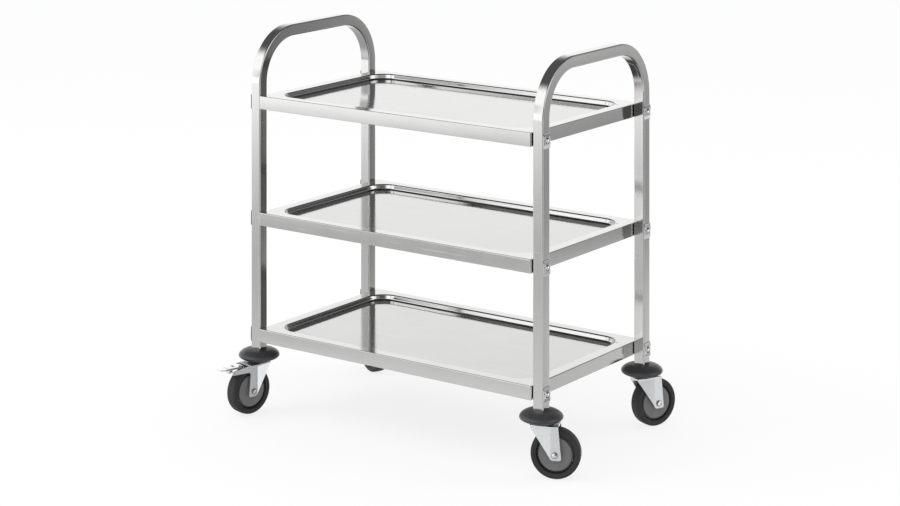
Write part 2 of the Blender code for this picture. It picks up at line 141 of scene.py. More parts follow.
def metal(name, tone, rough, tint=(1, 1, 1), streak=0.05, grain=1.0, waves=0.0, along="UV", rough_var=0.05, mottle=0.0, metallic=1.0, wing=0.0):
    """Stainless or plated steel: fine streaks along the brushing direction, smudges, hairline scratches."""
    m = bpy.data.materials.new(name)
    m.use_nodes = True
    n = Net(m.node_tree)
    out = n.n("ShaderNodeOutputMaterial")
    p = n.n("ShaderNodeBsdfPrincipled")
    n.link(p.outputs[0], out.inputs[0])
    tc = n.n("ShaderNodeTexCoord")
    uv = tc.outputs["UV"] if along == "UV" else tc.outputs["Object"]
    ob = tc.outputs["Object"]
    fine = n.noise(n.scaled(uv, (14 * grain, 1500 * grain, 1500 * grain)), 1.0, 3, 0.6)
    broad = n.noise(n.scaled(uv, (3 * grain, 190 * grain, 190 * grain)), 1.0, 2, 0.5)
    smudge = n.noise(ob, 9.0, 4, 0.55, 0.6)
    wipe = n.noise(n.scaled(ob, (30, 6, 12), (0.3, 0.2, 0.7)), 1.0, 3, 0.5)
    # hairline scratches: two directions of very thin stretched noise
    s1 = n.noise(n.scaled(ob, (9, 420, 420), (0.2, 0.1, 0.35)), 1.0, 1, 0.4)
    s2 = n.noise(n.scaled(ob, (420, 11, 420), (0.1, 0.3, -0.5)), 1.0, 1, 0.4)
    scratch = n.math("MAXIMUM", n.span(s1, 0.70, 0.78), n.span(s2, 0.71, 0.79))
    tonev = n.math("ADD", n.math("MULTIPLY", n.math("SUBTRACT", fine, 0.5), streak),
                   n.math("MULTIPLY", n.math("SUBTRACT", broad, 0.5), streak * 1.4))
    tonev = n.math("ADD", tonev, n.math("MULTIPLY", n.math("SUBTRACT", smudge, 0.5), 0.05))
    tonev = n.math("ADD", tonev, tone)
    if mottle:
        cell = n.n("ShaderNodeTexVoronoi", feature="F1")
        n.put(cell.inputs["Vector"], ob)
        cell.inputs["Scale"].default_value = 260.0
        tonev = n.math("ADD", tonev, n.math("MULTIPLY", n.math("SUBTRACT", cell.outputs["Color"], 0.5), mottle))
    col = n.n("ShaderNodeCombineColor")
    for i in range(3):
        n.put(col.inputs[i], n.math("MULTIPLY", tonev, tint[i], clamp=True))
    n.link(col.outputs[0], p.inputs["Base Color"])
    p.inputs["Metallic"].default_value = metallic
    r = n.math("ADD", rough, n.math("MULTIPLY", n.math("SUBTRACT", fine, 0.5), rough_var))
    r = n.math("ADD", r, n.math("MULTIPLY", n.math("SUBTRACT", wipe, 0.45), rough_var * 1.2))
    r = n.math("ADD", r, n.math("MULTIPLY", scratch, 0.10), clamp=True)
    n.link(r, p.inputs["Roughness"])
    lean = None
    if wing:
        # the fork leg's leading wing is folded further in than its thin sheet can show at this size
        sep = n.n("ShaderNodeSeparateXYZ")
        n.link(ob, sep.inputs[0])
        nrm = n.n("ShaderNodeNewGeometry").outputs["Normal"]
        loc = n.n("ShaderNodeVectorTransform", vector_type="NORMAL", convert_from="WORLD", convert_to="OBJECT")
        n.link(nrm, loc.inputs[0])
        ls = n.n("ShaderNodeSeparateXYZ")
        n.link(loc.outputs[0], ls.inputs[0])
        flat = n.span(n.math("ABSOLUTE", ls.outputs[1]), 0.80, 0.92)
        amount = n.math("MULTIPLY", n.math("MULTIPLY", n.span(sep.outputs[0], 0.0190, 0.0216, -wing, 0.0), flat), n.span(sep.outputs[2], 0.1000, 0.1040, 1.0, 0.0))
        off = n.n("ShaderNodeCombineXYZ")
        n.link(amount, off.inputs[0])
        back = n.n("ShaderNodeVectorTransform", vector_type="VECTOR", convert_from="OBJECT", convert_to="WORLD")
        n.link(off.outputs[0], back.inputs[0])
        add = n.n("ShaderNodeVectorMath", operation="ADD")
        n.link(nrm, add.inputs[0])
        n.link(back.outputs[0], add.inputs[1])
        unit = n.n("ShaderNodeVectorMath", operation="NORMALIZE")
        n.link(add.outputs[0], unit.inputs[0])
        lean = unit.outputs[0]
    b = n.bump(fine, 0.000012 / max(grain, 0.2), 1.0, lean)
    if waves:
        low = n.noise(n.scaled(ob, (5.0, 7.0, 7.0)), 1.0, 2, 0.4)
        b = n.bump(low, waves, 1.0, b)
    b = n.bump(scratch, 0.00001, 0.6, b)
    n.link(b, p.inputs["Normal"])
    return m


def rubber(name, tone, tint, rough, grain_scale, grain_depth, worn=0.0, sheen=0.0, spec=0.5):
    m = bpy.data.materials.new(name)
    m.use_nodes = True
    n = Net(m.node_tree)
    out = n.n("ShaderNodeOutputMaterial")
    p = n.n("ShaderNodeBsdfPrincipled")
    n.link(p.outputs[0], out.inputs[0])
    ob = n.n("ShaderNodeTexCoord").outputs["Object"]
    grain = n.noise(ob, grain_scale, 5, 0.6)
    cloud = n.noise(ob, 34.0, 4, 0.55, 0.8)
    dust = n.span(n.noise(ob, 90.0, 5, 0.65, 0.4), 0.56, 0.80)
    v = n.math("ADD", tone, n.math("MULTIPLY", n.math("SUBTRACT", cloud, 0.5), tone * 0.55))
    v = n.math("ADD", v, n.math("MULTIPLY", n.math("SUBTRACT", grain, 0.5), tone * 0.5))
    v = n.math("ADD", v, n.math("MULTIPLY", dust, worn))
    col = n.n("ShaderNodeCombineColor")
    for i in range(3):
        n.put(col.inputs[i], n.math("MULTIPLY", v, tint[i], clamp=True))
    n.link(col.outputs[0], p.inputs["Base Color"])
    r = n.math("ADD", rough, n.math("MULTIPLY", n.math("SUBTRACT", cloud, 0.5), 0.22), clamp=True)
    n.link(r, p.inputs["Roughness"])
    p.inputs["Specular IOR Level"].default_value = spec
    p.inputs["Sheen Weight"].default_value = sheen
    b = n.bump(grain, grain_depth, 1.0)
    b = n.bump(cloud, 0.00012, 0.6, b)
    n.link(b, p.inputs["Normal"])
    return m


TUBE_MAT = metal("tube_brushed_stainless", 0.690, 0.115, (1.0, 0.992, 0.985), streak=0.06, waves=0.0)
SHEET_MAT = metal("sheet_satin_stainless", 0.700, 0.080, (1.0, 0.997, 0.990), streak=0.035, grain=0.8, waves=0.00025)
# the underside is a dull mill finish whose darker colour is partly painted shade
MILL_AND_SHADE_MAT = metal("sheet_mill_underside_and_shade", 0.42, 0.36, (1.0, 0.995, 0.985), streak=0.05, grain=0.8, rough_var=0.10)
# the well floor is darker as painted shade for its greyer reflection
WELL_FLOOR_SHADE_MAT = metal("sheet_well_floor_painted_shade", 0.610, 0.085, (1.0, 0.997, 0.990), streak=0.035, grain=0.8, waves=0.00025)
# the tight bends are darker as painted shade for the dark reflection lines along the lip and the fillet
BEND_LINE_SHADE_MAT = metal("sheet_bend_painted_dark_line", 0.34, 0.12, (1.0, 0.997, 0.990), streak=0.03, grain=0.8)
PLATE_MAT = metal("saddle_bright_stainless", 0.830, 0.10, (1, 1, 1), streak=0.04)
BOLT_MAT = metal("bolt_bright_plated", 0.930, 0.060, (1, 1, 1), streak=0.03, along="OBJ")
# the flats are darker as painted shade for the dark ring round the axle ends
AXLE_RING_SHADE_MAT = metal("bolt_flats_painted_shade", 0.34, 0.30, (1, 1, 1), streak=0.05, along="OBJ")
ZINC_MAT = metal("fork_zinc_plated", 0.860, 0.20, (0.965, 0.985, 1.0), streak=0.03, rough_var=0.10, mottle=0.035, along="OBJ", metallic=0.86)
FORK_MAT = metal("fork_zinc_folded", 0.860, 0.20, (0.965, 0.985, 1.0), streak=0.03, rough_var=0.10, mottle=0.035, along="OBJ", metallic=0.86, wing=0.33)
CHROME_MAT = metal("pedal_bright_plated", 0.900, 0.07, (1, 1, 1), streak=0.02, along="OBJ")
# the swivel race is painted dark: painted shade, as it sits in shadow under the bumper
RACE_SHADE_MAT = metal("race_painted_shade", 0.20, 0.42, (1, 1, 1.02), streak=0.05, along="OBJ")
BUMPER_MAT = rubber("bumper_charcoal_rubber", 0.042, (0.98, 0.97, 1.04), 0.38, 1300.0, 0.00005, worn=0.012, spec=0.62)
TYRE_MAT = rubber("tyre_black_rubber", 0.033, (1, 1, 1), 0.60, 1700.0, 0.00008, worn=0.018, spec=0.30)
HUB_MAT = rubber("hub_grey_plastic", 0.160, (1.0, 1.0, 1.01), 0.50, 1500.0, 0.00004, worn=0.01, spec=0.35)


# ======================================================================================
# mesh helpers
# ======================================================================================
def publish(name, bm, mat, body, nodes=(), matrix=None, sharp=32.0, weld=0.0, bevel=None, keep_normals=True):
    """Turns a bmesh into a shown piece that rides on a body and stands for CAD nodes."""
    if weld:
        bmesh.ops.remove_doubles(bm, verts=bm.verts[:], dist=weld)
    bmesh.ops.recalc_face_normals(bm, faces=bm.faces[:])
    me = bpy.data.meshes.new(name)
    bm.to_mesh(me)
    bm.free()
    for m in mat if isinstance(mat, tuple) else (mat,):
        me.materials.append(m)
    me.shade_smooth()
    me.set_sharp_from_angle(angle=radians(sharp))
    ob = bpy.data.objects.new(name, me)
    bpy.context.scene.collection.objects.link(ob)
    if matrix is not None:
        ob.matrix_world = matrix
    if bevel:
        m = ob.modifiers.new("edges", "BEVEL")
        m.width, m.segments, m.limit_method, m.angle_limit = bevel, 3, "ANGLE", radians(38)
        m.harden_normals = False
    if keep_normals:
        m = ob.modifiers.new("flat_faces", "WEIGHTED_NORMAL")
        m.keep_sharp = True
        m.weight = 80
    if body:
        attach(ob, body)
    if nodes:
        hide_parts(*nodes)
    return ob


def lay_uv(bm, faces, fn):
    layer = bm.loops.layers.uv.get("run") or bm.loops.layers.uv.new("run")
    for f in faces:
        for lp in f.loops:
            lp[layer].uv = fn(lp.vert)


def skin(bm, rings, closed=True, caps=(False, False), loop=False, runs=None, across=None):
    """Lofts rings of points. runs and across give the UV's two directions, in metres."""
    layer = bm.loops.layers.uv.get("run") or bm.loops.layers.uv.new("run")
    rows = [[bm.verts.new(p) for p in ring] for ring in rings]
    n = len(rows[0])
    if runs is None:
        runs = [0.0]
        for a, b in zip(rings, rings[1:]):
            runs.append(runs[-1] + max((Vector(q) - Vector(p)).length for p, q in zip(a, b)))
    if across is None:
        across = [0.0]
        r = max(rings, key=lambda ring: sum((Vector(ring[i]) - Vector(ring[i - 1])).length for i in range(n)))
        for i in range(n):
            across.append(across[-1] + (Vector(r[(i + 1) % n]) - Vector(r[i])).length)
    pairs = [(k, k + 1) for k in range(len(rows) - 1)] + ([(len(rows) - 1, 0)] if loop else [])
    for a, b in pairs:
        for i in range(n if closed else n - 1):
            j = (i + 1) % n
            f = bm.faces.new((rows[a][i], rows[a][j], rows[b][j], rows[b][i]))
            ua, ub = runs[a], runs[b] if b else runs[a] + 0.002
            for lp, u, v in zip(f.loops, (ua, ua, ub, ub), (across[i], across[i + 1], across[i + 1], across[i])):
                lp[layer].uv = (u, v)
    for k, want in ((0, caps[0]), (-1, caps[1])):
        if want:
            f = bm.faces.new(rows[k][::-1] if k == 0 else rows[k])
            for lp in f.loops:
                lp[layer].uv = (lp.vert.co.x, lp.vert.co.y)
    return rows


def rounded(hx, hy, r, steps):
    """Points and their count round a rectangle with corner radius r, counter-clockwise, in XY."""
    pts = []
    for k, (sx, sy) in enumerate(((1, 1), (-1, 1), (-1, -1), (1, -1))):
        cx, cy = sx * (hx - r), sy * (hy - r)
        for i in range(steps + 1):
            a = pi / 2 * (k + i / steps)
            pts.append((cx + r * cos(a), cy + r * sin(a)))
    return pts


def arc(cx, cz, r, a0, a1, steps):
    return [(cx + r * cos(radians(a0 + (a1 - a0) * i / steps)), cz + r * sin(radians(a0 + (a1 - a0) * i / steps))) for i in range(steps + 1)]


def lathe(bm, profile, count, axis="Z", loop=False, caps=(False, False)):
    """Turns (radius, height) points about an axis."""
    rings = []
    for r, h in profile:
        ring = []
        for i in range(count):
            a = 2 * pi * i / count
            u, v = r * cos(a), r * sin(a)
            ring.append({"Z": (u, v, h), "X": (h, u, v), "Y": (v, h, u)}[axis])
        rings.append(ring)
    # brushing runs round the turned piece, so the two directions swap
    rows = skin(bm, rings, loop=loop, caps=caps)
    layer = bm.loops.layers.uv.get("run")
    for f in bm.faces:
        for lp in f.loops:
            u, v = lp[layer].uv
            lp[layer].uv = (v, u)
    return rows


def union(a, b, keep="UNION", mats=()):
    """Exact Boolean of two bmeshes in one space; returns a new bmesh."""
    obs = []
    for k, bm in (("a", a), ("b", b)):
        bmesh.ops.recalc_face_normals(bm, faces=bm.faces[:])
        me = bpy.data.meshes.new("tmp_" + k)
        bm.to_mesh(me)
        bm.free()
        for m in mats:
            me.materials.append(m)
        ob = bpy.data.objects.new("tmp_" + k, me)
        bpy.context.scene.collection.objects.link(ob)
        obs.append(ob)
    m = obs[0].modifiers.new("b", "BOOLEAN")
    m.operation, m.solver, m.object = keep, "EXACT", obs[1]
    dg = bpy.context.evaluated_depsgraph_get()
    out = bmesh.new()
    out.from_mesh(obs[0].evaluated_get(dg).to_mesh())
    for ob in obs:
        me = ob.data
        bpy.data.objects.remove(ob)
        bpy.data.meshes.remove(me)
    return out


# ======================================================================================
# end frames
# ======================================================================================
def end_frame(node):
    lo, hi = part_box(node)
    cx = (lo.x + hi.x) / 2
    half = (hi.x - lo.x) / 2
    y0, y1 = lo.y + half, hi.y - half          # the legs' centre lines
    foot, top = lo.z, hi.z - half
    bend = 0.116 - half                         # centre-line radius of the handle bends
    path = []
    for i in range(11):
        path.append((y0, foot + (top - bend - foot) * i / 10, 0.0))
    for i in range(1, 33):
        a = pi / 2 * i / 32
        path.append((y0 + bend - bend * cos(a), top - bend + bend * sin(a), a))
    for i in range(1, 6):
        path.append((y0 + bend + (y1 - y0 - 2 * bend) * i / 5, top, pi / 2))
    for i in range(1, 33):
        a = pi / 2 * i / 32
        path.append((y1 - bend + bend * sin(a), top - bend + bend * cos(a), pi / 2 + a))
    for i in range(1, 11):
        path.append((y1, top - bend + (foot - top + bend) * i / 10, pi))
    wall = 0.0012
    runs = [0.0]
    for a, b in zip(path, path[1:]):
        runs.append(runs[-1] + hypot(b[0] - a[0], b[1] - a[1]))
    bm = bmesh.new()
    ends = []
    for hh, r in ((half, 0.0030), (half - wall, 0.0018)):
        sec = rounded(hh, hh, r, 5)
        rings = []
        for y, z, a in path:
            across = Vector((0, -cos(a), sin(a)))
            rings.append([Vector((cx + u, y, z)) + across * v for u, v in sec])
        ends.append(skin(bm, rings, runs=runs))
    n = len(ends[0][0])
    for k in (0, -1):
        for i in range(n):
            j = (i + 1) % n
            bm.faces.new((ends[0][k][i], ends[0][k][j], ends[1][k][j], ends[1][k][i]))
    return publish(node + "_tube", bm, TUBE_MAT, "trolley", (node,), sharp=50)


end_frame("left_end_frame")
end_frame("right_end_frame")


# ======================================================================================
# trays
# ======================================================================================
def tray(node):
    lo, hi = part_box(node)
    mid = (lo + hi) / 2
    hx, hy, top = (hi.x - lo.x) / 2, (hi.y - lo.y) / 2, hi.z
    skirt = hi.z - lo.z
    t = 0.0010
    fold, rim, corner, plan = 0.0016, 0.0243, 0.046, 0.0030
    lip, fil, deep = 0.0034, 0.0040, 0.0112
    slope = radians(80)                          # the drawn wall leans out by 10 degrees
    run = (deep - lip * (1 - cos(slope)) - fil * (1 - cos(slope))) / tan(slope)
    # outer skin, from the skirt's hem to the floor of the well: (inset, depth, plan radius)
    face = []
    hem = 0.0007
    for a in (0, 30, 60, 90):                    # rounded edge of the closed hem
        face.append((hem - hem * sin(radians(a)), skirt - hem + hem * cos(radians(a)) - 0.00001))
    face.append((0, skirt * 0.5))
    for i in range(7):
        a = pi / 2 * i / 6
        face.append((fold - fold * cos(a), fold - fold * sin(a)))
    face.append((rim - 0.0008, 0.0))
    for i in range(7):
        a = slope * i / 6
        face.append((rim + lip * sin(a), lip - lip * cos(a)))
    lip_end = len(face)
    foot = rim + lip * sin(slope) + run + fil * sin(slope)   # where the floor starts
    for i in range(9):
        a = slope * (1 - i / 8)
        face.append((foot - fil * sin(a), deep - fil + fil * cos(a)))

    rings, prof = [], []
    for i, d in face:
        if i < rim * 0.6:
            r = max(plan - i * 0.5, 0.0018)
        else:
            r = corner - (i - rim)
        prof.append((i, d, r))
    outer = [[(mid.x + x, mid.y + y, top - d) for x, y in rounded(hx - i, hy - i, r, 14)] for i, d, r in prof]
    # inner skin, one sheet thickness behind
    back = []
    for i in range(3):                           # inside of the hem, turned up 9 mm
        back.append([(1.0 * t + 0.0006, skirt - 0.0004), (1.0 * t + 0.0010, skirt - 0.0018), (1.0 * t + 0.0010, skirt - 0.0090)][i])
    back += [(1.0 * t, skirt - 0.0093), (t, skirt * 0.45)]
    g = fold - t
    for i in range(5):
        a = pi / 2 * i / 4
        back.append((fold - g * cos(a), fold - g * sin(a)))
    back.append((rim - 0.0010, t))
    for i in range(5):
        a = slope * i / 4
        back.append((rim + (lip - t) * sin(a), lip - (lip - t) * cos(a)))
    for i in range(7):
        a = slope * (1 - i / 6)
        back.append((foot - (fil + t) * sin(a), deep - fil + (fil + t) * cos(a)))
    under = []
    for i, d in back:
        if i < rim * 0.6:
            r = max(plan - i * 0.5, 0.0015)
        else:
            r = corner - (i - rim)
        under.append([(mid.x + x, mid.y + y, top - d) for x, y in rounded(hx - i, hy - i, r, 14)])
    bm = bmesh.new()
    a = skin(bm, outer, caps=(False, True))
    b = skin(bm, under, caps=(False, True))
    n = len(a[0])
    for i in range(n):
        j = (i + 1) % n
        bm.faces.new((a[0][i], a[0][j], b[0][j], b[0][i]))
    # the underside keeps a dull mill finish, and its darker colour is also painted shade so the hanging hole reads dark
    low_rows = {v for row in b for v in row}
    for f in bm.faces:
        if all(v in low_rows for v in f.verts):
            f.material_index = 1
    # the tight bends at the rim and the floor of the well get a darker colour, painted shade for the dark reflection
    # lines along them
    for rows in (a[lip_end - 6:lip_end - 1], a[lip_end + 2:lip_end + 8]):
        ids = {v for row in rows for v in row}
        for f in bm.faces:
            if all(v in ids for v in f.verts) and len(f.verts) == 4:
                f.material_index = 2
    # the floor of the well gets a darker colour, painted shade for its greyer reflection
    floor_ring = set(a[-1])
    for f in bm.faces:
        if len(f.verts) > 4 and all(v in floor_ring for v in f.verts):
            f.material_index = 3
    # brushing runs along X on every flat of the tray
    lay_uv(bm, bm.faces, lambda v: (v.co.x - mid.x, (v.co.y - mid.y) + (top - v.co.z)))
    # small hanging hole in the flange
    tool = bmesh.new()
    bmesh.ops.create_cone(tool, cap_ends=True, segments=24, radius1=0.0022, radius2=0.0022, depth=0.012,
                          matrix=Matrix.Translation((mid.x + 0.3270, mid.y + 0.1525, top)))
    bm = union(bm, tool, "DIFFERENCE", (SHEET_MAT, MILL_AND_SHADE_MAT, BEND_LINE_SHADE_MAT, WELL_FLOOR_SHADE_MAT))
    return publish(node + "_sheet", bm, (SHEET_MAT, MILL_AND_SHADE_MAT, BEND_LINE_SHADE_MAT, WELL_FLOOR_SHADE_MAT), "trolley", (node,), sharp=40)


for node in ("bottom_tray", "middle_tray", "top_tray"):
    tray(node)


# ======================================================================================
# saddle plates and bolts
# ======================================================================================
def saddle(node, side):
    lo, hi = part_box(node)
    c = (lo + hi) / 2
    wy, wz, th = (hi.y - lo.y) / 2, (hi.z - lo.z) / 2, hi.x - lo.x
    base = lo.x if side > 0 else hi.x
    ny, nz = 44, 52
    bm = bmesh.new()
    grid = []

    def height(u, v):
        """Pressed shape: a shallow arch with a low square boss round the screw."""
        ramp = min(1.0, (wz - abs(v)) / 0.0085)
        ramp = ramp * ramp * (3 - 2 * ramp)
        bu = max(0.0, min(1.0, (0.0076 - abs(u)) / 0.0011))
        bv = max(0.0, min(1.0, (0.0082 - abs(v)) / 0.0016))
        return 0.0006 + 0.0009 * ramp + 0.0010 * bu * bu * (3 - 2 * bu) * bv * bv * (3 - 2 * bv)

    us = [-wy + 2 * wy * i / ny for i in range(ny + 1)]
    vs = [-wz + 2 * wz * k / nz for k in range(nz + 1)]
    for v in vs:
        row = []
        for u in us:
            edge = min(wy - abs(u), 0.0008)
            drop = 0.0008 - sqrt(max(0.0, 0.0008 ** 2 - (0.0008 - edge) ** 2))
            row.append(bm.verts.new((base + side * (height(u, v) - drop), c.y + u, c.z + v)))
        grid.append(row)
    for k in range(nz):
        for i in range(ny):
            bm.faces.new((grid[k][i], grid[k][i + 1], grid[k + 1][i + 1], grid[k + 1][i]))
    rim = [e for e in bm.edges if e.is_boundary]
    ret = bmesh.ops.extrude_edge_only(bm, edges=rim)
    low = [v for v in ret["geom"] if isinstance(v, bmesh.types.BMVert)]
    for v in low:
        v.co.x = base
    bmesh.ops.holes_fill(bm, edges=[e for e in bm.edges if e.is_boundary], sides=0)
    lay_uv(bm, bm.faces, lambda v: (v.co.z, v.co.y))
    return publish(node + "_plate", bm, PLATE_MAT, "trolley", (node,), sharp=45)


def corner_bolt(node, side):
    lo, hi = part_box(node)
    c = (lo + hi) / 2
    out = hi.x if side > 0 else lo.x
    inn = lo.x if side > 0 else hi.x
    base = out - side * 0.0044                     # under the head, on the saddle plate
    r = 0.0062
    bm = bmesh.new()
    cnt = 48
    # plain domed head; heights run outwards from its underside
    prof = [(0.0028, 0.0), (0.0058, 0.0), (r, 0.0003), (r, 0.0008)]
    for i in range(1, 11):
        a = radians(86 * i / 10)
        prof.append((r * cos(a), 0.0008 + 0.0036 * sin(a)))

    def ring(rr, h):
        return [(base + side * h, c.y + rr * cos(2 * pi * i / cnt), c.z + rr * sin(2 * pi * i / cnt)) for i in range(cnt)]

    rings = [ring(rr, h) for rr, h in prof]
    # the shank behind the head, through the plate, and the nut inside the tray's skirt
    tail = (inn - base) * side
    nut = []
    nr = 0.0050
    for h, f in ((tail, 0.86), (tail + 0.0006, 1.0), (tail + 0.0044, 1.0), (tail + 0.0050, 0.86)):
        pts = []
        for i in range(cnt):
            a = 2 * pi * i / cnt
            k = (a + pi / 6) % (pi / 3) - pi / 6
            rr = min(nr * cos(pi / 6) / cos(k) / 0.93, nr * 1.1) * f
            pts.append((base + side * h, c.y + rr * cos(a), c.z + rr * sin(a)))
        nut.append(pts)
    skin(bm, nut + [ring(0.0028, tail + 0.0050)] + rings, caps=(True, True))
    return publish(node + "_screw", bm, BOLT_MAT, "trolley", (node,), sharp=34)


for end, side in (("left", -1), ("right", 1)):
    for row in ("front", "back"):
        for level in ("bottom", "middle", "top"):
            saddle("saddle_%s_%s_%s" % (row, end, level), side)
            corner_bolt("bolt_%s_%s_%s" % (row, end, level), side)


# ======================================================================================
# casters
# ======================================================================================
def smooth_wide(x, crease=0.0205, lean=0.12, soft=0.0035):
    """How far the fork leg's leading wing leans in at x, with a rounded crease."""
    d = crease - x
    if d <= -soft:
        return 0.0
    if d >= soft:
        return d * lean
    return lean * (d + soft) ** 2 / (4 * soft)


def rounded_outline(pts, radii, steps=5):
    """Rounds the corners of a polygon; radii is one radius for each point."""
    out = []
    n = len(pts)
    for i, (p, r) in enumerate(zip(pts, radii)):
        a, b = Vector(pts[i - 1]), Vector(pts[(i + 1) % n])
        p = Vector(p)
        if r <= 0:
            out.append(tuple(p))
            continue
        u, v = (a - p).normalized(), (b - p).normalized()
        ang = u.angle(v)
        cut = min(r / max(0.05, tan(ang / 2)), (a - p).length * 0.48, (b - p).length * 0.48)
        s, e = p + u * cut, p + v * cut
        for k in range(steps + 1):
            t = k / steps
            q = s * (1 - t) ** 2 + p * 2 * t * (1 - t) + e * t * t
            out.append((q.x, q.y))
    return out


def fork(where, matrix, braked, gap, th, trail, axle_z, pivot):
    lo, hi = 0.1030, 0.1064
    outline = [(-0.0190, hi), (-0.0190, 0.1005), (0.0190, 0.0450), (0.0208, 0.0412), (0.0250, 0.0395), (0.0395, 0.0395), (0.0425, 0.0425), (0.0385, 0.0860)]
    radii = [0.0, 0.004, 0.004, 0.002, 0.003, 0.003, 0.0025, 0.004]
    if braked:
        outline += [(0.0395, 0.0918), (0.0470, 0.0925), (0.0800, 0.0943), (0.0873, 0.0950), (0.0875, 0.1020), (0.0800, 0.1028), (0.0440, hi)]
        radii += [0.005, 0.003, 0.0, 0.0028, 0.0032, 0.0, 0.0]
    else:
        outline += [(0.0365, hi)]
        radii += [0.0]
    pts = rounded_outline(outline, radii)
    legs = []
    for s in (-1, 1):
        bm = bmesh.new()
        vs = [bm.verts.new((x, 0, z)) for x, z in pts]
        bm.faces.new(vs)
        for c in [-0.014, -0.008, -0.002, 0.004, 0.010, 0.014, 0.0165, 0.0185, 0.0205, 0.0225, 0.0245, 0.030, 0.036]:
            bmesh.ops.bisect_plane(bm, geom=bm.verts[:] + bm.edges[:] + bm.faces[:], plane_co=(c, 0, 0), plane_no=(1, 0, 0))
        ret = bmesh.ops.extrude_face_region(bm, geom=bm.faces[:])
        new = [v for v in ret["geom"] if isinstance(v, bmesh.types.BMVert)]
        for v in new:
            v.co.y = th
        for v in bm.verts:
            v.co.y = s * (gap + v.co.y - smooth_wide(v.co.x))
        legs.append(bm)
    # crown plate, a little inside the legs' outer faces
    xs = [-0.0225, -0.0215, -0.0195, -0.0150, -0.0100, -0.0040, 0.0020, 0.0080, 0.0140, 0.0205, 0.0280, 0.0345, 0.0358, 0.0365]
    half = []
    for x in xs:
        h = gap + th - smooth_wide(x) - 0.00008
        if x < -0.0190:
            h = h - 0.0075 + 0.0075 * sqrt(max(0.0, 1 - ((-0.0190 - x) / 0.0036) ** 2))
        if x > 0.0350:
            h = h - 0.004 + 0.004 * sqrt(max(0.0, 1 - ((x - 0.0350) / 0.0016) ** 2))
        half.append(h)
    ring = list(zip(xs, half)) + [(x, -h) for x, h in zip(xs[::-1], half[::-1])]
    crown = bmesh.new()
    skin(crown, [[(x, y, lo) for x, y in ring], [(x, y, hi) for x, y in ring]], caps=(True, True))
    bm = union(union(crown, legs[0]), legs[1])
    # bend radius where the crown turns down into the legs
    bm.edges.ensure_lookup_table()
    bend = []
    for e in bm.edges:
        a, b = e.verts[0].co, e.verts[1].co
        if abs(a.z - hi) < 2e-5 and abs(b.z - hi) < 2e-5 and len(e.link_faces) == 2:
            m = (a + b) / 2
            if abs(abs(m.y) - (gap + th - smooth_wide(m.x))) < 2.5e-4 and -0.0195 < m.x < 0.0367 and abs(b.x - a.x) > 1e-4:
                n0, n1 = e.link_faces[0].normal, e.link_faces[1].normal
                if n0.angle(n1, 0) > 0.9:
                    bend.append(e)
    if bend:
        bmesh.ops.bevel(bm, geom=bend, offset=0.0021, segments=5, profile=0.5, affect="EDGES")
    return publish("fork_%s_pressed" % where, bm, FORK_MAT, "caster_" + where, ("fork_" + where,), matrix, sharp=38, bevel=0.00045)


def axle(where, matrix, at, side):
    """Bolt with a flanged head on one side and a flanged nut on the other, along the local Y."""
    bm = bmesh.new()
    cnt = 48

    def ring(rr, h):
        return [(at[0] + rr * cos(2 * pi * i / cnt), h, at[1] + rr * sin(2 * pi * i / cnt)) for i in range(cnt)]

    def hexring(rr, h, blend=0.0):
        pts = []
        for i in range(cnt):
            a = 2 * pi * i / cnt
            k = (a + pi / 6) % (pi / 3) - pi / 6
            q = rr * cos(pi / 6) / cos(k)
            q = q * (1 - blend) + rr * 0.9 * blend
            pts.append((at[0] + q * cos(a), h, at[1] + q * sin(a)))
        return pts

    s = side
    rings = [ring(0.0012, -s - 0.0040), ring(0.0030, -s - 0.0038), hexring(0.0050, -s - 0.0036, 0.6), hexring(0.0056, -s - 0.0031), hexring(0.0056, -s - 0.0012),
             ring(0.0062, -s - 0.0010), ring(0.0065, -s - 0.0006), ring(0.0065, -s), ring(0.0040, -s), ring(0.0040, s), ring(0.0065, s), ring(0.0065, s + 0.0006), ring(0.0062, s + 0.0010),
             hexring(0.0056, s + 0.0012), hexring(0.0056, s + 0.0029), hexring(0.0050, s + 0.0034, 0.6), ring(0.0040, s + 0.0034), ring(0.0037, s + 0.0024), ring(0.0034, s + 0.0024), ring(0.0031, s + 0.0040), ring(0.0012, s + 0.0042)]
    rows = skin(bm, rings, caps=(True, True))
    # the flats and the flange get a darker colour, painted shade for the dark ring round the axle ends; the turned ends
    # stay bright
    for part in (rows[3:8], rows[10:15]):
        ids = {v for row in part for v in row}
        for f in bm.faces:
            if len(f.verts) == 4 and all(v in ids for v in f.verts):
                f.material_index = 1
    return publish("axle_%s_bolt" % where, bm, (BOLT_MAT, AXLE_RING_SHADE_MAT), "caster_" + where, ("axle_" + where,), matrix, sharp=30)


def tyre(where, matrix, body):
    bm = bmesh.new()
    w, R = 0.0135, 0.0500
    half = []
    half += [(0.0355, -0.0060), (0.0372, -0.0064), (0.0379, -0.0084), (0.0383, -0.0110)]
    half += arc(0.0398, -0.0113, 0.0015, 180, 270, 4)[1:]
    half += [(0.0425, -0.0132), (0.0447, -w)]
    half += [(0.0445 + 0.0052 * sin(radians(a)), -w + 0.0050 * (1 - cos(radians(a)))) for a in (15, 30, 45, 60, 75, 90)]
    half += [(0.0498, -0.0060), (0.04995, -0.0030), (R, 0.0)]
    prof = half + [(r, -h) for r, h in half[-2::-1]]
    lathe(bm, prof, 96, "Y", loop=True)
    return publish("tyre_%s_rubber" % where, bm, TYRE_MAT, body, ("tyre_" + where,), matrix, sharp=40)


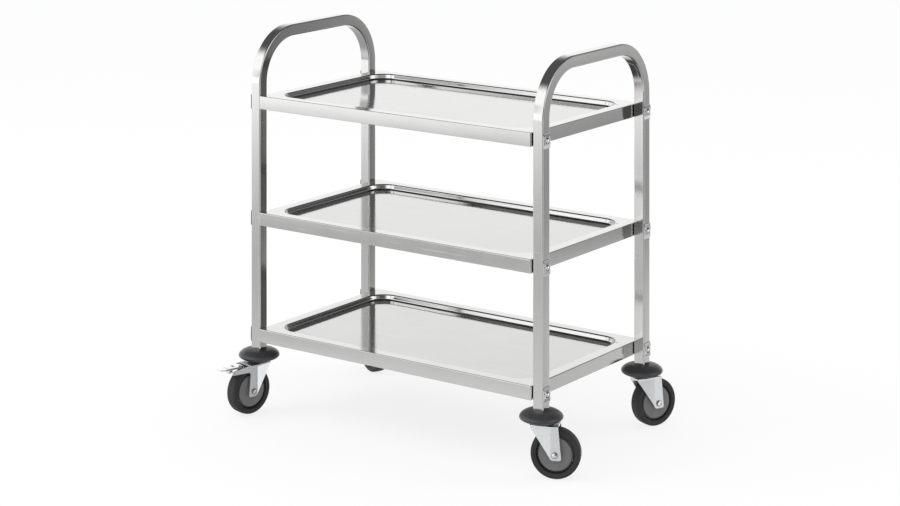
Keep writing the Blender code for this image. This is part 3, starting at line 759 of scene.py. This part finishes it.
def hub(where, matrix, body):
    bm = bmesh.new()
    rim = 0.0352
    half = [(0.0043, -0.0166), (0.0080, -0.0166), (0.0086, -0.0160), (0.0092, -0.0130), (0.0104, -0.0119), (0.0130, -0.0116), (0.0142, -0.0112), (0.0154, -0.0116),
            (0.0230, -0.0119), (0.0300, -0.0119), (0.0322, -0.0118), (0.0331, -0.0112), (0.0334, -0.0098), (0.0336, -0.0064), (0.0340, -0.0056), (rim, -0.0056)]
    prof = half + [(r, -h) for r, h in half[::-1]]
    lathe(bm, prof, 96, "Y", loop=True)
    return publish("hub_%s_disc" % where, bm, HUB_MAT, body, ("hub_" + where,), matrix, sharp=34)


def bumper(where, at, node):
    lo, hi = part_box(node)
    R, z0, z1 = (hi.x - lo.x) / 2, lo.z, hi.z
    mid = 0.1196
    bm = bmesh.new()
    prof = [(0.0064, z1), (0.0120, z1), (0.0150, z1)]
    for i in range(1, 15):
        a = pi / 2 * i / 14
        prof.append((0.0150 + (R - 0.0150) * sin(a), mid + (z1 - mid) * cos(a) ** 1.12))
    low = mid - z0
    for i in range(1, 10):
        a = pi / 2 * i / 9
        prof.append((0.0225 + (R - 0.0225) * cos(a), mid - low * sin(a)))
    prof += [(0.0215, z0), (0.0205, z0 + 0.0010), (0.0180, z0 + 0.0012), (0.0064, z0 + 0.0012)]
    lathe(bm, prof, 96, loop=True)
    return publish("bumper_%s_ring" % where, bm, BUMPER_MAT, "trolley", (node,), Matrix.Translation((at.x, at.y, 0)), sharp=50)


def race(where, at, node):
    lo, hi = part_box(node)
    z0, z1 = lo.z, hi.z
    bm = bmesh.new()
    prof = [(0.0064, z1), (0.0215, z1), (0.0240, z1 - 0.0003), (0.0252, z1 - 0.0010), (0.0256, z1 - 0.0020), (0.0252, z1 - 0.0027), (0.0236, z1 - 0.0030), (0.0229, z0 + 0.0003), (0.0222, z0), (0.0064, z0)]
    lathe(bm, prof, 64, loop=True)
    # the race's dark colour is painted shade under the bumper
    return publish("race_%s_cup" % where, bm, RACE_SHADE_MAT, "trolley", (node,), Matrix.Translation((at.x, at.y, 0)), sharp=40)


def pedal(where, matrix, pivot, gap, th):
    """Pressed pedal: a plate with turned-down edges, a slot and a lifted toe, a web and its pin."""
    px, pz = pivot
    st = [(0.0500, 0.1070, 0.0110), (0.0525, 0.1074, 0.0138), (0.0560, 0.1079, 0.0155), (0.0620, 0.1083, 0.0159), (0.0685, 0.1085, 0.0161), (0.0690, 0.1085, 0.0161), (0.0755, 0.1086, 0.0162),
          (0.0760, 0.1086, 0.0162), (0.0820, 0.1086, 0.0162), (0.0880, 0.1085, 0.0161), (0.0930, 0.1081, 0.0158), (0.0980, 0.1079, 0.0150), (0.1020, 0.1080, 0.0140), (0.1060, 0.1084, 0.0122), (0.1090, 0.1091, 0.0102), (0.1110, 0.1098, 0.0080), (0.1124, 0.1103, 0.0050)]
    cols = [-1.0, -0.97, -0.9, -0.7, -0.37, -0.3, 0.0, 0.3, 0.37, 0.7, 0.9, 0.97, 1.0]
    bm = bmesh.new()
    grid = []
    for x, z, h in st:
        row = []
        for c in cols:
            drop = 0.0
            if abs(c) > 0.9:
                drop = (abs(c) - 0.9) / 0.1
                drop = 0.0011 * drop * drop * (1.0 if x < 0.100 else 0.5)
            row.append(bm.verts.new((x - px, c * h, z - pz - drop - 0.0003 * c * c)))
        grid.append(row)
    for k in range(len(st) - 1):
        for i in range(len(cols) - 1):
            hole = 0.0688 < (st[k][0] + st[k + 1][0]) / 2 < 0.0757 and 4 < i + 0.5 < 8 - 0.4 and abs(cols[i] + cols[i + 1]) / 2 < 0.34
            if not hole:
                bm.faces.new((grid[k][i], grid[k][i + 1], grid[k + 1][i + 1], grid[k + 1][i]))
    loose = [v for v in bm.verts if not v.link_faces]
    if loose:
        bmesh.ops.delete(bm, geom=loose, context="VERTS")
    bmesh.ops.recalc_face_normals(bm, faces=bm.faces[:])
    if sum(f.normal.z for f in bm.faces) < 0:
        bmesh.ops.reverse_faces(bm, faces=bm.faces[:])
    top = bm.faces[:]
    ret = bmesh.ops.extrude_face_region(bm, geom=top)
    for v in [g for g in ret["geom"] if isinstance(g, bmesh.types.BMVert)]:
        v.co.z -= 0.0019
    web = bmesh.new()
    wr = []
    for y in (-0.0065, -0.0058, 0.0058, 0.0065):
        k = 0.90 if abs(y) > 0.006 else 1.0
        wr.append([(q[0] * k, y, q[1] * k) for q in rounded(0.0048, 0.0060, 0.0028, 5)])
    skin(web, [[(x, y, z + 0.0032) for x, y, z in r] for r in wr], caps=(True, True))
    bm = union(bm, web)
    rod = bmesh.new()
    reach = gap + th + 0.0011
    skin(rod, [[(r * cos(2 * pi * i / 28), y, r * sin(2 * pi * i / 28)) for i in range(28)] for r, y in ((0.0014, -reach), (0.0019, -reach + 0.0005), (0.0019, reach - 0.0005), (0.0014, reach))], caps=(True, True))
    bm = union(bm, rod)
    return publish("brake_pedal_%s_plate" % where, bm, CHROME_MAT, "pedal_" + where, ("brake_pedal_" + where,), matrix, sharp=35, bevel=0.00035)


GAP, SHEET = 0.0175, 0.0022
for name, j in JOINTS.items():
    if not name.startswith("swivel_"):
        continue
    where = name[len("swivel_"):]
    at = Vector(j["pos_m"])
    roll = JOINTS["roll_" + where]
    wheel = Vector(roll["pos_m"])
    d = Vector((wheel.x - at.x, wheel.y - at.y))
    heading = atan2(d.y, d.x)
    base = Matrix.Translation((at.x, at.y, 0)) @ Matrix.Rotation(heading, 4, "Z")
    hub_at = Matrix.Translation(wheel) @ Matrix.Rotation(heading, 4, "Z")
    brake = JOINTS.get("brake_" + where)
    pivot = None
    if brake:
        b = Vector(brake["pos_m"])
        pivot = (hypot(b.x - at.x, b.y - at.y), b.z)
    fork(where, base, bool(brake), GAP, SHEET, d.length, wheel.z, pivot)
    axle(where, base, (d.length, wheel.z), GAP + SHEET + 0.0003)
    tyre(where, hub_at, "wheel_" + where)
    hub(where, hub_at, "wheel_" + where)
    bumper(where, at, "bumper_" + where)
    race(where, at, "race_" + where)
    if brake:
        pm = Matrix.Translation(Vector(brake["pos_m"])) @ Matrix.Rotation(heading, 4, "Z")
        pedal(where, pm, pivot, GAP, SHEET)
    # the stem stays as the CAD has it: it sits inside the leg and the bumper
    frame["nodes"]["stem_" + where].data.materials.clear()
    frame["nodes"]["stem_" + where].data.materials.append(ZINC_MAT)


# ======================================================================================
# floor, light and camera
# ======================================================================================
def floor():
    bm = bmesh.new()
    bmesh.ops.create_grid(bm, x_segments=8, y_segments=8, size=40.0)
    me = bpy.data.meshes.new("floor")
    bm.to_mesh(me)
    bm.free()
    ob = bpy.data.objects.new("floor", me)
    bpy.context.scene.collection.objects.link(ob)
    m = bpy.data.materials.new("floor_white")
    m.use_nodes = True
    n = Net(m.node_tree)
    out = n.n("ShaderNodeOutputMaterial")
    dif = n.n("ShaderNodeBsdfDiffuse")
    dif.inputs[0].default_value = (0.9, 0.9, 0.9, 1)
    em = n.n("ShaderNodeEmission")
    em.inputs[0].default_value = (1, 1, 1, 1)
    em.inputs[1].default_value = 1.02
    mx = n.n("ShaderNodeMixShader")
    mx.inputs[0].default_value = 0.80
    n.link(dif.outputs[0], mx.inputs[1])
    n.link(em.outputs[0], mx.inputs[2])
    n.link(mx.outputs[0], out.inputs[0])
    me.materials.append(m)
    ob.visible_glossy = False
    return ob


floor()


def studio():
    """White studio round the trolley: bright walls, a dark ceiling and a dark camera side, as polished steel shows them."""
    w = bpy.data.worlds.new("studio")
    bpy.context.scene.world = w
    w.use_nodes = True
    n = Net(w.node_tree)
    out = n.n("ShaderNodeOutputWorld")
    bg = n.n("ShaderNodeBackground")
    n.link(bg.outputs[0], out.inputs[0])
    d = n.n("ShaderNodeTexCoord").outputs["Generated"]
    nv = n.n("ShaderNodeVectorMath", operation="NORMALIZE")
    n.link(d, nv.inputs[0])
    sep = n.n("ShaderNodeSeparateXYZ")
    n.link(nv.outputs[0], sep.inputs[0])
    x, y, z = sep.outputs
    el = n.math("MULTIPLY", n.math("ARCSINE", z), 180 / pi)
    az = n.math("MULTIPLY", n.math("ARCTAN2", y, x), 180 / pi)

    def around(stops):
        return n.ramp(n.math("DIVIDE", n.math("ADD", az, 180.0), 360.0), [((a + 180) / 360, v) for a, v in stops])

    wall = around([(-180, 1.05), (-140, 1.18), (-124, 1.12), (-108, 1.08), (-92, 1.02), (-77, 0.90), (-67, 0.30), (-60, 0.08), (-24, 0.07), (-11, 0.35), (0, 0.92), (20, 0.92), (31, 0.60), (41, 0.18), (46, 0.10), (49.5, 0.11), (52, 0.23), (54, 0.33), (56.8, 0.43), (59.5, 0.33), (63, 0.40), (78, 0.95), (100, 1.12), (128, 1.10), (180, 1.05)])
    low = around([(-180, 0.85), (-124, 0.84), (-95, 0.72), (-74, 0.64), (-58, 0.60), (-31, 0.90), (-10, 0.84), (5, 0.84), (13, 0.76), (27, 0.27), (41, 0.24), (50, 0.44), (57, 0.66), (72, 1.15), (90, 1.2), (130, 1.02), (180, 0.85)])
    high = around([(-180, 1.05), (-140, 1.35), (-130.2, 1.42), (-128.2, 0.46), (-126.5, 0.42), (-125.0, 0.62), (-124.2, 0.90), (-123.6, 1.34), (-118, 1.38), (-108, 1.30), (-92, 1.55), (-80, 1.45), (-68, 0.45), (-62, 0.10), (-24, 0.08), (-14, 0.40), (0, 1.45), (20, 1.45), (32, 0.70), (43, 0.34), (53, 0.36), (57, 0.44), (61, 0.46), (70, 0.62), (78, 0.95), (100, 1.12), (128, 1.10), (180, 1.05)])
    lp = n.n("ShaderNodeLightPath")
    # seen straight in a flat tray floor the camera side is a mid grey room; only surfaces that meet it after two bounces show it black
    opening = n.span(n.math("ABSOLUTE", n.math("ADD", az, 42.0)), 20.0, 42.0, 0.42, 0.0)
    first = n.math("LESS_THAN", lp.outputs["Ray Depth"], 2.5)
    high = n.mix(1.0, high, n.math("MULTIPLY", opening, n.math("MULTIPLY", first, n.span(el, 9.0, 13.0))), "ADD")
    # the same for the darker bay on the right, seen in the floors from the left
    bay = n.span(n.math("ABSOLUTE", n.math("SUBTRACT", az, 49.0)), 16.0, 30.0, 0.44, 0.0)
    high = n.mix(1.0, high, n.math("MULTIPLY", bay, n.math("MULTIPLY", first, n.span(el, 11.5, 14.5))), "ADD")
    wall = n.mix(1.0, wall, n.span(el, -11.2, -8.9, 1.0, 1.25), "MULTIPLY")
    above = n.math("MULTIPLY", n.span(n.math("ABSOLUTE", n.math("ADD", az, 128.0)), 18.0, 24.0, 1.0, 0.0), n.math("MULTIPLY", first, n.span(el, 12.0, 17.0)))
    high = n.mix(above, high, (1.40, 1.40, 1.40, 1))
    # near the horizon the wall behind the viewer is brighter and the walls square to the trolley are shaded
    def zone(centre, full, none):
        return n.span(n.math("ABSOLUTE", n.math("SUBTRACT", az, centre)), full, none, 1.0, 0.0)

    square = n.math("MAXIMUM", zone(-84.0, 22.0, 28.0), zone(8.0, 22.0, 30.0))
    wall = n.mix(1.0, wall, n.math("SUBTRACT", 1.0, n.math("MULTIPLY", square, n.span(el, -8.2, -6.2, 0.0, 0.34))), "MULTIPLY")
    facing = n.math("MAXIMUM", n.math("MULTIPLY", zone(-126.0, 10.0, 16.0), 0.04), n.math("MULTIPLY", zone(52.0, 9.0, 13.0), 0.24))
    wall = n.mix(1.0, wall, n.math("ADD", 1.0, n.math("MULTIPLY", facing, n.span(el, -9.8, -8.6))), "MULTIPLY")
    wall = n.mix(n.span(el, -0.5, 3.5), wall, high)
    side = n.math("ADD", 0.5, n.math("MULTIPLY", n.math("SINE", n.math("MULTIPLY", az, pi / 180)), 0.65), clamp=True)
    e1 = n.math("ADD", 37.0, n.math("MULTIPLY", side, -25.0))
    e2 = n.math("ADD", 51.0, n.math("MULTIPLY", side, -9.0))
    up = n.n("ShaderNodeMapRange", interpolation_type="SMOOTHSTEP", clamp=True)
    n.put(up.inputs["Value"], el)
    n.put(up.inputs["From Min"], e1)
    n.put(up.inputs["From Max"], e2)
    body = n.mix(up.outputs["Result"], wall, (0.095, 0.095, 0.10, 1))
    steep = n.span(el, -40.0, -24.0, 0.55, 1.0)
    down = n.mix(1.0, low, steep, "MULTIPLY")
    body = n.mix(n.span(el, -15.4, -12.6), down, body)
    dip = n.math("DIVIDE", n.math("ADD", el, 13.3), 2.2)
    dip = n.math("POWER", 2.718, n.math("MULTIPLY", n.math("MULTIPLY", dip, dip), -1.0))
    where_dip = n.span(n.math("ABSOLUTE", n.math("ADD", az, 126.0)), 14.0, 30.0, 1.0, 0.0)
    body = n.mix(1.0, body, n.math("SUBTRACT", 1.0, n.math("MULTIPLY", n.math("MULTIPLY", dip, where_dip), 0.49)), "MULTIPLY")
    right = n.span(n.math("ABSOLUTE", n.math("SUBTRACT", az, 58.0)), 14.0, 30.0, 1.0, 0.0)
    shade = n.math("ADD", n.span(el, -7.0, -1.0, 0.0, 0.55), n.span(el, -25.0, -18.0, 0.60, 0.0))
    body = n.mix(1.0, body, n.math("SUBTRACT", 1.0, n.math("MULTIPLY", shade, right)), "MULTIPLY")
    cloud = n.math("ADD", 0.94, n.math("MULTIPLY", n.noise(nv.outputs[0], 4.0, 2, 0.5), 0.12))
    body = n.mix(1.0, body, cloud, "MULTIPLY")
    soft = n.mix(n.span(el, -10.0, 60.0), (0.62, 0.62, 0.63, 1), (0.95, 0.95, 0.96, 1))
    col = n.mix(lp.outputs["Is Glossy Ray"], soft, body)
    col = n.mix(lp.outputs["Is Camera Ray"], col, (1.02, 1.02, 1.02, 1))
    n.link(col, bg.inputs[0])
    bg.inputs[1].default_value = 1.0


studio()


def softbox(name, at, look, size, power):
    l = bpy.data.lights.new(name, "AREA")
    l.shape, l.size, l.size_y, l.energy = "RECTANGLE", size[0], size[1], power
    o = bpy.data.objects.new(name, l)
    bpy.context.scene.collection.objects.link(o)
    o.location = at
    o.rotation_euler = (Vector(look) - Vector(at)).to_track_quat("-Z", "Y").to_euler()
    o.visible_glossy = False
    o.visible_camera = False


softbox("key", (-2.6, -2.4, 3.4), (0, 0, 0.4), (2.4, 2.4), 60)
softbox("fill", (3.2, 2.6, 2.6), (0, 0, 0.4), (2.4, 2.4), 25)

HOME = (2.9192926, -4.0466212, 1.5743879)
cam = bpy.data.cameras.new("camera")
eye = bpy.data.objects.new("camera", cam)
bpy.context.scene.collection.objects.link(eye)
bpy.context.scene.camera = eye
eye.location = HOME
eye.rotation_euler = (pi / 2, 0, radians(35.79147))
cam.sensor_width = 36
cam.lens = 94.12424
cam.clip_end = 200
# the lens is shifted at the main viewpoint only; anywhere else the camera looks straight
for prop, value in (("shift_x", -0.0000819), ("shift_y", -0.6375616)):
    drv = cam.driver_add(prop).driver
    drv.type = "SCRIPTED"
    var = drv.variables.new()
    var.name = "x"
    var.type = "TRANSFORMS"
    var.targets[0].id = eye
    var.targets[0].transform_type = "LOC_X"
    var.targets[0].transform_space = "WORLD_SPACE"
    drv.expression = "%.7f if abs(x - %.7f) < 0.001 else 0.0" % (value, HOME[0])

view = bpy.context.scene.view_settings
view.view_transform = "Standard"
view.look = "None"
